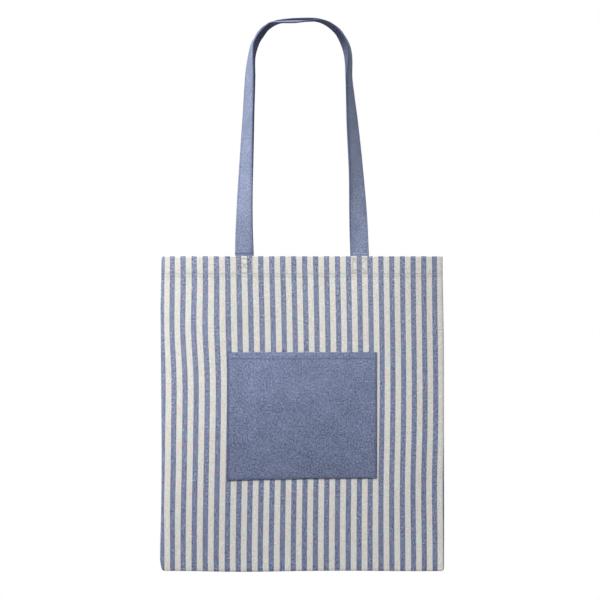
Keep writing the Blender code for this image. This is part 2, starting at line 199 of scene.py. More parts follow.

# Camera, lights and floor
CAMERA_DISTANCE = 6.0
CAMERA_X, CAMERA_Z = -0.0027, -0.3751
FRAME_WIDTH = 0.8028          # what the frame takes in at the bag's distance
SENSOR = 36.0
WORLD_LEVEL = 0.77
WORLD_SLOPE = (-0.60, 0.0, 0.02)        # how the surround's light changes along x, y and z
WORLD_BEHIND = 0.75
KEY_PLACE = Vector((-1.1, -2.7, 1.9))
KEY_POWER = 80.0
KEY_SIZE = 1.2
FLOOR_DROP = 0.16             # from the bag's bottom to the floor
FLOOR_RADIUS, FLOOR_SIDES = 5.0, 96
WHITE = (1.0, 1.0, 1.0, 1.0)


# ---- Mesh helpers

def spread(start, end, step):
    """Evenly spaced values from start to end, about one step apart."""
    return np.linspace(start, end, max(1, round(abs(end - start) / step)) + 1)


def smooth_step(value):
    value = np.clip(value, 0, 1)
    return value * value * (3 - 2 * value)


def ridge(distance, width):
    """1 where distance is 0, falling off smoothly to either side over about the width."""
    return np.exp(-(distance / width) ** 2)


def joined(*axes):
    """Points or UVs from the values, grids or rows of their separate axes."""
    return np.stack(np.broadcast_arrays(*axes), axis=-1)


def signed_volume(points, quads):
    """Six times the volume that quads close in, below 0 where they face inward."""
    first, second, third, last = points[quads.T]
    return np.einsum("ij,ij->", first, np.cross(second, third) + np.cross(third, last))


def skin_faces(rings):
    """Quads of a closed skin, the same in a grid with its first column repeated, and both caps."""
    count, size = rings.shape[:2]
    row, column = np.meshgrid(np.arange(count - 1), np.arange(size), indexing="ij")
    low = row * (size + 1) + column
    high = low + size + 1
    grid_quads = joined(low, low + 1, high + 1, high).reshape(-1, 4)
    quads = grid_quads // (size + 1) * size + grid_quads % (size + 1) % size
    caps = [np.arange(size)[::-1], np.arange(size)]
    points = rings.reshape(-1, 3)
    if signed_volume(points - points.mean(axis=0), quads) < 0:
        quads, grid_quads, caps = quads[:, ::-1], grid_quads[:, ::-1], caps[::-1]
    return quads, grid_quads, caps


def add_piece(name, points, faces, uvs, material, marks=None):
    """A mesh object from points, faces, a UV pair for each face corner and marks on its points."""
    mesh = bpy.data.meshes.new(name)
    mesh.from_pydata(points.tolist(), [], faces)
    layer = mesh.uv_layers.new(name="cloth")
    layer.data.foreach_set("uv", np.asarray(uvs, dtype=np.float32).ravel())
    for mark, values in (marks or {}).items():
        attribute = mesh.attributes.new(mark, "FLOAT", "POINT")
        attribute.data.foreach_set("value", np.asarray(values, dtype=np.float32).ravel())
    mesh.materials.append(material)
    mesh.shade_smooth()
    mesh.set_sharp_from_angle(angle=math.radians(50))
    piece = bpy.data.objects.new(name, mesh)
    scene.collection.objects.link(piece)
    return piece


def add_skin(name, rings, uvs, material, marks=None):
    """Closed skin through rings (count, size, 3), capped at both ends; uvs are (count, size + 1, 2)."""
    count, size = rings.shape[:2]
    quads, grid_quads, (first_cap, last_cap) = skin_faces(rings)
    faces = quads.tolist() + [first_cap.tolist(), (last_cap + (count - 1) * size).tolist()]
    corners = np.concatenate([grid_quads.ravel(), first_cap, last_cap + (count - 1) * (size + 1)])
    return add_piece(name, rings.reshape(-1, 3), faces, uvs.reshape(-1, 2)[corners], material, marks)


def wrapped(grid):
    """A grid with its first column repeated at its end, which closes each ring."""
    return np.concatenate([grid, grid[:, :1]], axis=1)


def profile_length(profile, last_step):
    """Distance along a profile's rows, and once more past the last one to close the ring."""
    steps = np.hypot(np.diff(profile[:, 0]), np.diff(profile[:, 1]))
    return np.concatenate([[0], np.cumsum(steps), [steps.sum() + last_step]])


def unit(vectors):
    return vectors / np.linalg.norm(vectors, axis=-1, keepdims=True)


# ---- Cloth shape

def half_width(z):
    rise = np.minimum(z - BOTTOM_Z, CORNER_RADIUS)
    return HALF_WIDTH - CORNER_RADIUS + np.sqrt(CORNER_RADIUS ** 2 - (CORNER_RADIUS - rise) ** 2)


def bow_depth(x, z):
    """How far a panel bows out of the middle plane, from nothing at its edges to the open mouth."""
    height = (z - BOTTOM_Z) / BAG_HEIGHT
    beside = np.clip((np.abs(x) - FLAT_HALF_WIDTH) / (HALF_WIDTH - FLAT_HALF_WIDTH), 0, 1)
    return MOUTH_HALF_DEPTH * height * (2 - height) * np.cos(math.pi / 2 * beside)


def panel_depth(x, z):
    """Distance from the middle plane to the outside of a panel, before its fine relief."""
    inset = np.minimum(half_width(z) - np.abs(x), z - BOTTOM_Z)
    inset = np.clip(inset, 0, CORNER_RADIUS) / CORNER_RADIUS
    rounding = np.sqrt(1 - (1 - inset) ** 2)
    return MID_GAP + EDGE_HALF + (SIDE_SWELL + CANVAS - EDGE_HALF) * rounding + bow_depth(x, z)


def box_seam(x, z):
    """1 on the lines of the sewn boxes and their crosses, falling off beside them."""
    seam = np.zeros(np.broadcast(x, z).shape)
    for centre_x, centre_z, half in BOXES.values():
        across, up = np.abs(x - centre_x), np.abs(z - centre_z)
        inside = np.maximum(across, up) <= half + 0.0012
        outline = ridge(np.maximum(across, up) - half, 0.0008)
        cross = ridge((across - up) / math.sqrt(2), 0.0008)
        seam = np.maximum(seam, inside * np.maximum(outline, cross))
    return seam


def hem_seam(x, z):
    """1 along the hem's stitching, deeper at each needle hole."""
    hole = np.cos(2 * math.pi * (x + HALF_WIDTH) / HEM_PITCH - math.pi)
    return ridge(z - HEM_STITCH_Z, 0.0007) * (0.70 + 0.30 * hole)


def drape(x, z, side):
    """Soft undulation of the hanging cloth, gone at the hem, the seams and the bottom."""
    u, v = x / HALF_WIDTH, (TOP_Z - z) / BAG_HEIGHT
    turn = 0.0 if side == FRONT else 2.1
    long_folds = np.sin(7.1 * u + 1.3 * np.sin(2.3 * v + turn) + turn) * np.sin(math.pi * v) ** 0.5
    cross_folds = np.sin(5.3 * v + 2.2 * u + 0.9 + turn)
    ripples = np.sin(19 * u - 4.1 * v + turn) * np.sin(8.3 * v + 3.1 * u + 1.7)
    room = smooth_step(bow_depth(x, z) / 0.010) * smooth_step((HEM_LOW_Z - z) / 0.035)
    return room * (0.00050 * long_folds + 0.00035 * cross_folds + 0.00018 * ripples)


def side_puckers(x, z):
    """Small dents where the side and bottom seams gather the cloth."""
    beside = half_width(z) - np.abs(x)
    above = z - BOTTOM_Z
    on_side = ridge(beside - 0.0055, 0.0042) * np.sin(z * 610 + 2.0 * np.sin(z * 95))
    on_bottom = ridge(above - 0.0055, 0.0042) * np.sin(x * 540 + 2.0 * np.sin(x * 88))
    return 0.00013 * (on_side + on_bottom)


def relief(x, z, side):
    """What the sewing and hanging add to a panel's plain shape, outward."""
    room = smooth_step(bow_depth(x, z) / 0.003)
    hem_share = np.clip((TOP_Z - z) / (TOP_Z - HEM_STITCH_Z), 0, 1)
    puffed = 0.00022 * np.sin(math.pi * hem_share) * smooth_step((z - HEM_STITCH_Z) / 0.002)
    below_hem = -0.00032 * smooth_step((HEM_LOW_Z + 0.0006 - z) / 0.0016)
    stitched = -0.00030 * hem_seam(x, z) - 0.00016 * box_seam(x, z)
    return room * (puffed + below_hem + stitched) + drape(x, z, side) + side_puckers(x, z)


def cloth_depth(x, z, side=FRONT):
    """Distance from the middle plane to the outside of a finished panel."""
    return np.maximum(panel_depth(x, z) + relief(x, z, side), MID_GAP + 0.8 * EDGE_HALF)


def stripe_shift(x, z):
    """How far the stripes have wandered sideways, where the cloth isn't pulled quite straight."""
    u, drop = x / HALF_WIDTH, np.clip(TOP_Z - z, 0, None)
    bow = np.sin(math.pi * np.clip(drop / 0.390, 0, 1) ** 0.75) ** 2
    shift = (0.00235 - 0.0008 * u) * bow - (0.0019 - 0.0006 * u) * u ** 2
    for place_x, place_drop, reach_x, reach_drop, amount in STRIPE_PULLS:
        shift += amount * ridge(x - place_x, reach_x) * ridge(drop - place_drop, reach_drop)
    return shift


# ---- Panels

def panel_columns():
    """Places across a panel from -1 to 1: two for each hem stitch, closer at the pressed edges."""
    even = np.linspace(-1, 1, 2 * round(2 * HALF_WIDTH / HEM_PITCH) + 1)
    edge = 1 - PANEL_SIDE_STEPS / HALF_WIDTH
    return np.sort(np.concatenate([even, edge, -edge]))


def panel_profile():
    """Heights up the outside of a panel, then the fold over the top, then down the inside.

    Each row has z, the depth behind the outside, and how far that depth is a fold's own thickness.
    """
    edge = BOTTOM_Z + PANEL_FOOT_STEPS
    body = spread(BOTTOM_Z + 0.0075, HEM_LOW_Z - 0.006, 0.0027)
    hem = spread(HEM_LOW_Z - 0.0048, TOP_Z - 0.0022, 0.00095)
    rows = [(z, 0.0) for z in np.concatenate([edge, body, hem])]
    for angle in np.radians(spread(0, 180, 22.5)):
        rows.append((TOP_Z - HEM / 2 * (1 - math.sin(angle)), HEM / 2 * (1 - math.cos(angle))))
    for z in spread(TOP_Z - 0.003, HEM_LOW_Z + 0.0016, 0.0027):
        rows.append((z, HEM))
    for angle in np.radians(spread(0, 150, 30)):
        rows.append((HEM_LOW_Z + CANVAS * (1 - math.sin(angle)), HEM - CANVAS * (1 - math.cos(angle))))
    for z in np.concatenate([spread(HEM_LOW_Z - 0.001, BOTTOM_Z + 0.008, 0.0052), edge[::-2]]):
        rows.append((z, CANVAS))
    return np.array(rows)


def outline_wander(x, z):
    """Where the pressed edges, which aren't quite straight, carry a point of the panel."""
    drop = TOP_Z - z
    side_share = np.abs(x / HALF_WIDTH) ** 3
    left = 0.0021 - 0.0014 * ridge(drop - 0.075, 0.045) - 0.0020 * smooth_step((drop - 0.30) / 0.11)
    right = 0.0017 - 0.0017 * smooth_step(drop / 0.18) + 0.0002 * np.sin(drop * 26 + 2.0)
    sideways = side_share * np.where(x < 0, left, -right)
    near_bottom = ridge(z - BOTTOM_Z, 0.035)
    down = near_bottom * (0.0011 * ridge(x + 0.095, 0.060) - 0.0003 * np.sin(x * 31))
    corner = ridge(x + HALF_WIDTH, 0.0022) * ridge(drop, 0.004)
    low_corner = ridge(x + HALF_WIDTH, 0.012) * np.clip(1 - (z - BOTTOM_Z) / 0.015, 0, 1) ** 1.4
    return x + (sideways + 0.0006 * corner + 0.0026 * low_corner), z + (-down - 0.0013 * corner)


def build_panel(name, side, material):
    columns, profile = panel_columns(), panel_profile()
    z = np.broadcast_to(profile[:, 0], (len(columns), len(profile)))
    x = columns[:, None] * half_width(z)
    outside = cloth_depth(x, np.minimum(z, TOP_Z), side)
    behind = profile[None, :, 1]
    thin = np.where(behind > CANVAS, behind, np.minimum(behind, outside - MID_GAP))
    depth = np.maximum(MID_GAP, outside - thin)
    real_x, real_z = outline_wander(x, z)
    rings = joined(real_x, side * depth, real_z)
    stripe_x = wrapped(real_x)
    uvs = joined(stripe_x - stripe_shift(stripe_x, wrapped(z)), profile_length(profile, CANVAS))
    outer_face = (behind < CANVAS / 2) * np.ones_like(z)
    # painted shade along the hem's and the boxes' stitching and at the hem's lower edge, on the outer face
    painted_shade = np.maximum(1.05 * hem_seam(x, z), box_seam(x, z)) * outer_face
    painted_shade = np.maximum(painted_shade, 0.35 * ridge(z - HEM_LOW_Z, 0.0009) * outer_face)
    # lighter bottom rim: partly rubbed wear, partly painted light that lifts the shade of its
    # downward-turned rounding
    wear_and_painted_light = 1.6 * ridge(z - BOTTOM_Z, 0.0014) * outer_face
    marks = {"painted_shade": painted_shade, "wear_and_painted_light": wear_and_painted_light}
    return add_skin(name, rings, uvs, material, marks)


# ---- Pocket

def pocket_rise(x, z):
    """Nominal to real height: the bottom edge was sewn on a little askew."""
    share = (POCKET_TOP_Z - z) / (POCKET_TOP_Z - POCKET_BOTTOM_Z)
    leftness = np.clip((1 - x / POCKET_HALF_WIDTH) / 2, 0, 1)
    return z + share * (POCKET_RIGHT_LIFT - POCKET_LEFT_DROP * leftness ** 2.2)


def pocket_seam(x, z):
    """1 along the pocket's stitching, deeper at each needle hole."""
    hole_x = 0.75 + 0.25 * np.cos(2 * math.pi * x / POCKET_PITCH)
    hole_z = 0.75 + 0.25 * np.cos(2 * math.pi * (z - POCKET_BOTTOM_Z) / POCKET_PITCH)
    sides = ridge(POCKET_HALF_WIDTH - np.abs(x) - POCKET_EDGE_INSET, 0.0007) * hole_z
    bottom = ridge(z - POCKET_BOTTOM_Z - POCKET_EDGE_INSET, 0.0007) * hole_x
    hem = ridge(z - POCKET_STITCH_Z, 0.0006) * hole_x * (0.85 + 0.35 * np.sin(63 * x) * np.sin(171 * x + 1))
    return np.maximum(np.maximum(sides, bottom), hem)


def pocket_depth(x, z):
    """Distance from the middle plane to the outside of the pocket."""
    across = np.minimum(1.0, np.abs(x) / (POCKET_HALF_WIDTH - POCKET_SEWN_MARGIN))
    free_height = POCKET_TOP_Z - POCKET_BOTTOM_Z - POCKET_SEWN_MARGIN
    up = np.clip((z - POCKET_BOTTOM_Z - POCKET_SEWN_MARGIN) / free_height, 0, 1)
    swell = POCKET_SWELL * (1 - across ** 2) * up * (2 - up)
    free = (1 - across ** 4) * smooth_step(up / 0.2)
    waves = free * (0.00035 * np.sin(33 * x + 11 * z + 0.5) + 0.00022 * np.sin(61 * x - 47 * z))
    puffed = 0.00010 * smooth_step((z - POCKET_STITCH_Z) / 0.002)
    base = cloth_depth(x, pocket_rise(x, z)) + GAP + 2 * POCKET_CLOTH
    return base + swell + waves + puffed - 0.00022 * pocket_seam(x, z)


def pocket_profile():
    """Rows up the outside of the pocket, over its top fold and down the inside: z and depth behind."""
    edge = POCKET_BOTTOM_Z + POCKET_SIDE_STEPS[:-1]
    hem_low = POCKET_TOP_Z - POCKET_HEM_HEIGHT
    turned_high = POCKET_BOTTOM_Z + POCKET_TURN_IN
    body = spread(POCKET_BOTTOM_Z + POCKET_SIDE_STEPS[-1], hem_low - 0.002, 0.0013)
    hem = spread(hem_low - 0.001, POCKET_TOP_Z - 0.0009, 0.0008)
    rows = [(z, 0.0) for z in np.concatenate([edge, body, hem])]
    for angle in np.radians(spread(0, 180, 30)):
        fold_z = POCKET_TOP_Z - POCKET_CLOTH * (1 - math.sin(angle))
        rows.append((fold_z, POCKET_CLOTH * (1 - math.cos(angle))))
    for z in spread(POCKET_TOP_Z - 0.002, hem_low + 0.0004, 0.0025):
        rows.append((z, 2 * POCKET_CLOTH))
    rows.append((hem_low, 1.5 * POCKET_CLOTH))
    for z in spread(hem_low - 0.0004, turned_high + 0.0004, 0.004):
        rows.append((z, POCKET_CLOTH))
    turned_in = spread(turned_high, POCKET_BOTTOM_Z + 0.002, 0.004)
    for z in np.concatenate([turned_in, POCKET_BOTTOM_Z + POCKET_INNER_STEPS]):
        rows.append((z, 2 * POCKET_CLOTH))
    return np.array(rows)


def pocket_painted_shade(x, z, outer_face):
    """Painted shade along the pocket's stitches and round its edges, except over the top fold."""
    rim = np.minimum(POCKET_HALF_WIDTH - np.abs(x), np.minimum(z - POCKET_BOTTOM_Z, POCKET_TOP_Z - z))
    edge_line = 1.2 * ridge(rim, 0.0011) * (z < POCKET_TOP_Z - 0.002)
    return np.maximum(pocket_seam(x, z) * outer_face, edge_line)


def build_pocket(material):
    middle = spread(-POCKET_HALF_WIDTH + 0.0024, POCKET_HALF_WIDTH - 0.0024, POCKET_PITCH / 2)
    columns = np.concatenate([-POCKET_HALF_WIDTH + POCKET_SIDE_STEPS, middle,
                              POCKET_HALF_WIDTH - POCKET_SIDE_STEPS[::-1]])
    profile = pocket_profile()
    x, z, one_layer = np.broadcast_arrays(columns[:, None], *profile.T)
    turned_in = POCKET_HALF_WIDTH - np.abs(x) < POCKET_TURN_IN
    below_fold = z <= POCKET_TOP_Z - POCKET_CLOTH * 1.01
    doubled = turned_in & below_fold & (one_layer > POCKET_CLOTH / 2)
    behind = np.where(doubled, np.maximum(one_layer, 2 * POCKET_CLOTH), one_layer)
    side_inset = np.clip((POCKET_HALF_WIDTH - np.abs(x)) / POCKET_CLOTH, 0, 1)
    low_inset = np.clip((z - POCKET_BOTTOM_Z) / POCKET_CLOTH, 0, 1)
    roundness = np.sqrt(1 - (1 - np.minimum(side_inset, low_inset)) ** 2)
    depth = pocket_depth(x, z) - POCKET_CLOTH + (POCKET_CLOTH - behind) * np.maximum(roundness, 0.02)
    rings = joined(x, FRONT * depth, pocket_rise(x, z))
    uvs = joined(wrapped(x), profile_length(profile, POCKET_CLOTH))
    marks = {"painted_shade": pocket_painted_shade(x, z, behind < POCKET_CLOTH / 2)}
    return add_skin("pocket_cloth", rings, uvs, material, marks)


# ---- Stitches

def add_stitches(name, runs, material, width):
    """One mesh of thread stitches; each run is an array of starts, of ends and of cloth normals."""
    starts = np.concatenate([run[0] for run in runs])
    ends = np.concatenate([run[1] for run in runs])
    normals = unit(np.concatenate([run[2] for run in runs]))
    along = unit(ends - starts)
    across = unit(np.cross(along, normals))
    rise = width * 0.36
    centre = starts[:, None] + (ends - starts)[:, None] * STITCH_ALONG[None, :, None]
    centre = centre + normals[:, None] * (STITCH_HEIGHT * rise)[None, :, None]
    angles = np.arange(STITCH_SIDES) * 2 * math.pi / STITCH_SIDES
    wide = np.cos(angles)[None, None, :, None] * (STITCH_TAPER * width / 2)[None, :, None, None]
    high = np.sin(angles)[None, None, :, None] * (STITCH_TAPER * width * 0.38)[None, :, None, None]
    points = centre[:, :, None] + across[:, None, None] * wide + normals[:, None, None] * high
    count, rings = len(starts), len(STITCH_ALONG)
    quads, grid_quads, caps = skin_faces(points[0])
    offsets = np.arange(count)[:, None] * rings * STITCH_SIDES
    faces = (quads[None] + offsets[:, None]).reshape(-1, 4).tolist()
    row, column = np.divmod(grid_quads, STITCH_SIDES + 1)
    quad_uv = joined(STITCH_ALONG[row], column / STITCH_SIDES)
    uv_size = joined(np.linalg.norm(ends - starts, axis=1), width * 3)
    uvs = [(quad_uv[None] * uv_size[:, None, None]).reshape(-1, 2)]
    for end_cap, first in zip(caps, (0, (rings - 1) * STITCH_SIDES)):
        faces += (end_cap + first + offsets).tolist()
        uvs.append(np.zeros((count * STITCH_SIDES, 2)))
    return add_piece(name, points.reshape(-1, 3), faces, np.concatenate(uvs), material)


def stitch_run(holes, normals, seed):
    """Stitches between successive holes, each a little off the line as a real one is."""
    jitter = np.random.default_rng(seed).normal(0, STITCH_WANDER, holes.shape)
    starts, ends = holes[:-1] + jitter[:-1], holes[1:] + jitter[1:] * 0.6
    direction = unit(ends - starts)
    return starts + direction * STITCH_GAP / 2, ends - direction * STITCH_GAP / 2, normals[:-1]


def cloth_runs(corners, pitch, side, depth):
    """Stitches along straight lines between corners (x, z), on a cloth of the given depth."""
    runs = []
    nudge = 0.0008
    for index, ((x0, z0), (x1, z1)) in enumerate(zip(corners, corners[1:])):
        count = max(1, round(math.hypot(x1 - x0, z1 - z0) / pitch))
        x, z = np.linspace(x0, x1, count + 1), np.linspace(z0, z1, count + 1)
        holes, beside, above = [joined(x + dx, side * depth(x + dx, z + dz), z + dz)
                                for dx, dz in ((0, 0), (nudge, 0), (0, nudge))]
        normals = np.cross(beside - holes, above - holes)
        normals *= np.sign(normals[:, 1:2]) * side
        runs.append(stitch_run(holes, normals, seed=index + count))
    return runs


def move_runs(runs, moved):
    """Puts both ends of every stitch where moved(x, z) carries them."""
    for starts, ends, _ in runs:
        for points in (starts, ends):
            points[:, 0], points[:, 2] = moved(points[:, 0], points[:, 2])
    return runs


def build_hem_stitches(name, side, material):
    first = -HALF_WIDTH + 1.5 * HEM_PITCH
    corners = [(first, HEM_STITCH_Z), (-first, HEM_STITCH_Z)]
    runs = cloth_runs(corners, HEM_PITCH, side, lambda x, z: cloth_depth(x, z, side))
    runs += cloth_runs(corners, HEM_PITCH, -side, lambda x, z: HEM - cloth_depth(x, z, side))
    return add_stitches(name, move_runs(runs, outline_wander), material, THREAD_WIDTH * 0.95)


def box_lines(centre_x, centre_z, half):
    """The sewing order of a box with a cross: round the box and up one diagonal, then the other."""
    left, right = centre_x - half, centre_x + half
    low, high = centre_z - half, centre_z + half
    box = [(left, low), (right, low), (right, high), (left, high), (left, low), (right, high)]
    return box, [(left, high), (right, low)]


def build_box_stitches(name, side, place, material):
    hem_and_tape = HEM + GAP + TAPE
    runs = []
    for corners in box_lines(*place):
        runs += cloth_runs(corners, BOX_PITCH, side, lambda x, z: cloth_depth(x, z, side))
        runs += cloth_runs(corners, BOX_PITCH, -side, lambda x, z: hem_and_tape - panel_depth(x, z))
    return add_stitches(name, runs, material, THREAD_WIDTH * 1.2)


def build_pocket_stitches(material):
    """The border and the hem line, tilted with the pocket's lower edge."""
    side_x = POCKET_HALF_WIDTH - POCKET_EDGE_INSET
    hem_x = side_x - 0.0015
    low_z, high_z = POCKET_BOTTOM_Z + POCKET_EDGE_INSET, POCKET_TOP_Z - 0.001
    border = [(-side_x, high_z), (-side_x, low_z), (side_x, low_z), (side_x, high_z)]
    hem = [(-hem_x, POCKET_STITCH_Z), (hem_x, POCKET_STITCH_Z)]
    pieces = []
    for name, corners in (("pocket_edge_stitches", border), ("pocket_hem_stitches", hem)):
        runs = cloth_runs(corners, POCKET_PITCH, FRONT, pocket_depth)
        move_runs(runs, lambda x, z: (x, pocket_rise(x, z)))
        pieces.append(add_stitches(name, runs, material, THREAD_WIDTH * 0.9))
    return pieces


# ---- Handles

def smooth_route(rows):
    """Points along a smooth curve through rows of equal length, each row a point in 3-D."""
    points = [Vector(row) for row in rows]
    slopes = []
    for index in range(len(points)):
        before, after = points[max(0, index - 1)], points[min(len(points) - 1, index + 1)]
        slopes.append((after - before).normalized())
    route = []
    for index in range(len(points) - 1):
        start, end = points[index], points[index + 1]
        reach = (end - start).length / 3
        run = interpolate_bezier(start, start + slopes[index] * reach,
                                 end - slopes[index + 1] * reach, end, ROUTE_STEPS + 1)
        route += run[:-1]
    return np.array(route + [points[-1]])


def sewn_depth(z):
    """Depth of the middle of a tape end, sewn flat against the inside of the hem."""
    return panel_depth(HANDLE_CENTRE_X, z) - HEM - GAP - TAPE / 2


def tape_foot(side, sign):
    """Middle of a tape end inside the hem: upward where sign is -1, downward where it is 1."""
    z = spread(TOP_Z - SEWN_END, TOP_Z, 0.002)[::-sign]
    return joined(sign * HANDLE_CENTRE_X, side * sewn_depth(z), z)


def tape_loop(side):
    """Middle, width direction and face direction of the free part of a handle."""
    rows = [(x, turn / DEGREES_PER_METRE, height) for x, height, turn in HANDLE_ROUTES[side]]
    route = smooth_route(rows)
    step = np.empty((len(route), 2))
    step[1:-1] = route[2:, [0, 2]] - route[:-2, [0, 2]]
    step[0], step[-1] = (0, 1), (0, -1)
    along = unit(joined(step[:, 0], 0, step[:, 1]))
    inward = joined(along[:, 2], 0, -along[:, 0])
    turn = np.radians(route[:, 1] * DEGREES_PER_METRE)[:, None]
    width_way = inward * np.cos(turn) + np.array([[0, side, 0]]) * np.sin(turn)
    face_way = unit(np.cross(along, width_way))
    foot_depth = sewn_depth(TOP_Z)
    depth = foot_depth + (CROWN_HALF_SPREAD - foot_depth) * route[:, 2] / HANDLE_RISE
    middle = joined(route[:, 0], side * depth, TOP_Z + route[:, 2])
    return middle, width_way, face_way


def tape_path(side):
    """Places every half stitch along a handle's whole tape, with its middle, width and face there."""
    middle, *ways = tape_loop(side)
    left, right = tape_foot(side, -1), tape_foot(side, 1)
    lines = [np.concatenate([left, middle, right])]
    for way in ways:
        lines.append(np.pad(way, ((len(left), len(right)), (0, 0)), "edge"))
    travelled = np.concatenate([[0], np.cumsum(np.linalg.norm(np.diff(lines[0], axis=0), axis=1))])
    places = spread(0, travelled[-1], TAPE_PITCH / 2)
    middle, width_way, face_way = [joined(*[np.interp(places, travelled, axis) for axis in line.T])
                                   for line in lines]
    return places, middle, unit(width_way), unit(face_way)


def tape_section():
    """One face of the folded tape: places across it, half its thickness and the stitches' groove."""
    half = TAPE_WIDTH / 2
    inset = np.concatenate([[0, 0.00012, 0.0004, 0.0009, 0.0016, 0.0022, 0.0026],
                            [0.0028, 0.0030, 0.0034, 0.0042, 0.0060]])
    flat = np.linspace(-half + 0.009, half - 0.009, 4)
    across = np.concatenate([-half + inset, flat, half - inset[::-1]])
    edge = half - np.abs(across)
    round_edge = np.sqrt(1 - (1 - np.clip(edge / 0.0009, 0, 1)) ** 2)
    thick = TAPE / 2 * np.maximum(0.16, round_edge)
    return across, thick, ridge(edge - TAPE_EDGE_INSET, 0.0005)


def foot_rows(places):
    """1 at the row of stitches just above the left hem, less at the right one."""
    left, right = ridge(places - FOOT_ROW_PLACE, 0.0005), ridge(places[-1] - places - FOOT_ROW_PLACE, 0.0005)
    return np.maximum(left, 0.7 * right)[:, None]


def tape_rings(places, middle, width_way, face_way, side):
    """Rings round the tape: its upper face, its open edge, then its lower face."""
    across, thick, groove = tape_section()
    hole = np.cos(2 * math.pi * places / TAPE_PITCH)[:, None]
    dent = 0.00008 * groove[None] * (0.75 + 0.25 * hole)
    swell = 0.00007 * np.sin(places * 95)[:, None] * ridge(across, 0.007)[None]
    foot_row = foot_rows(places)
    half_thick = thick[None] - dent + swell - 0.00035 * foot_row * (thick / thick.max())[None]
    sway = 0.00012 * np.sin(places * 61 + side)[:, None]
    wide = across[None] * (1 + 0.006 * np.sin(places * 47 + 1.0)[:, None] + 0.012 * foot_row)

    def surface(wide, height):
        return (middle[:, None] + width_way[:, None] * wide[..., None]
                + face_way[:, None] * height[..., None])

    upper, lower = surface(wide, half_thick + sway), surface(wide, sway - half_thick)
    return np.concatenate([upper, surface(wide[:, -1:] - 0.0005, sway), lower[:, ::-1]], axis=1)


def tape_painted_shade(places, height, side):
    """Painted shade at the tape's edges, seams and feet, and all over the face inside the loop, deepest at
    the crown.
    """
    across, _, groove = tape_section()
    edge = 1.5 * ridge(TAPE_WIDTH / 2 - np.abs(across), 0.0011)
    if side == FRONT:
        edge *= np.where(across < 0, 0.35, 1.0)
    outer = np.maximum(np.maximum(0.15 * groove, edge)[None], 1.3 * foot_rows(places))
    # painted shade on the tape low down, near the bag's top edge
    outer = np.maximum(outer, 0.34 * ridge(height, 0.045)[:, None])
    crown = smooth_step((height / HANDLE_RISE - 0.86) / 0.09)[:, None]
    # painted shade all over the face inside the loop, where the two handles shade each other
    inner = np.maximum(outer, 1.15 + 0.60 * crown)
    upper, lower = (inner, outer) if side == FRONT else (outer, inner)
    return np.concatenate([upper, np.ones((len(places), 1)), lower[:, ::-1]], axis=1)


def build_tape(name, side, material):
    """A handle: one folded tape through both sewn ends and the loop."""
    places, middle, width_way, face_way = tape_path(side)
    rings = tape_rings(places, middle, width_way, face_way, side)
    across, half = tape_section()[0], TAPE_WIDTH / 2
    girth = np.concatenate([across, [half + TAPE / 2], 2 * half + TAPE - across[::-1], [3 * half + TAPE]])
    marks = {"painted_shade": tape_painted_shade(places, middle[:, 2] - TOP_Z, side)}
    return add_skin(name, rings, joined(girth, places[:, None]), material, marks)


def build_edge_stitches(name, side, edge, material):
    """Stitches along an edge of the tape, inner or outer, on both of its faces."""
    _, middle, width_way, face_way = [line[::2] for line in tape_path(side)]
    runs = []
    for face in (1, -1):
        holes = middle + width_way * edge * (TAPE_WIDTH / 2 - TAPE_EDGE_INSET)
        holes += face_way * face * (TAPE / 2 - 0.00012)
        runs.append(stitch_run(holes, face_way * face, seed=7 + face))
    return add_stitches(name, runs, material, THREAD_WIDTH * 0.8)


def build_foot_row(name, side, sign, material):
    """Stitches across the tape just above the hem, on both faces; sign is -1 at the left foot."""
    places, middle, width_way, face_way = tape_path(side)
    place = FOOT_ROW_PLACE if sign < 0 else places[-1] - FOOT_ROW_PLACE
    at = int(np.argmin(np.abs(places - place)))
    half = TAPE_WIDTH / 2 - FOOT_ROW_INSET
    across = spread(-half, half, FOOT_ROW_PITCH)[:, None]
    runs = []
    for face in (1, -1):
        holes = middle[at] + width_way[at] * across + face_way[at] * face * (TAPE / 2 - 0.0003)
        runs.append(stitch_run(holes, np.repeat((face_way[at] * face)[None], len(holes), 0), seed=at))
    return add_stitches(name, runs, material, THREAD_WIDTH * 1.1)


# ---- Seams

def allowance_place(node):
    """Centre, directions along and inward, length, width and half thickness of a seam allowance."""
    low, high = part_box(node)
    centre = np.array([(low.x + high.x) / 2, 0.0, (low.z + high.z) / 2])
    across_x, up_z, half = high.x - low.x, high.z - low.z, (high.y - low.y) / 2
    if up_z > across_x:
        return centre, np.array([0, 0, 1.0]), np.array([-np.sign(centre[0]), 0, 0]), up_z, across_x, half
    return centre, np.array([1.0, 0, 0]), np.array([0, 0, 1.0]), across_x, up_z, half


def build_allowance(node, material):
    """A seam allowance inside the bag: two layers of canvas with a rounded fold."""
    centre, along, inward, length, width, half = allowance_place(node)
    places = spread(-length / 2, length / 2, 0.0022)
    section = ALLOWANCE_SECTION
    wobble = 0.00018 * np.sin(places * 190)[:, None] + 0.00010 * np.sin(places * 710)[:, None]
    rings = (centre + along * places[:, None, None] + inward * (section[:, 0] * width)[None, :, None]
             + OUTWARD * (section[:, 1] * half * 0.8 + wobble)[..., None])
    across = np.concatenate([section[:, 0], section[:1, 0]]) * width + centre[0]
    return add_skin(f"{node}_allowance", rings, joined(across, places[:, None]), material)


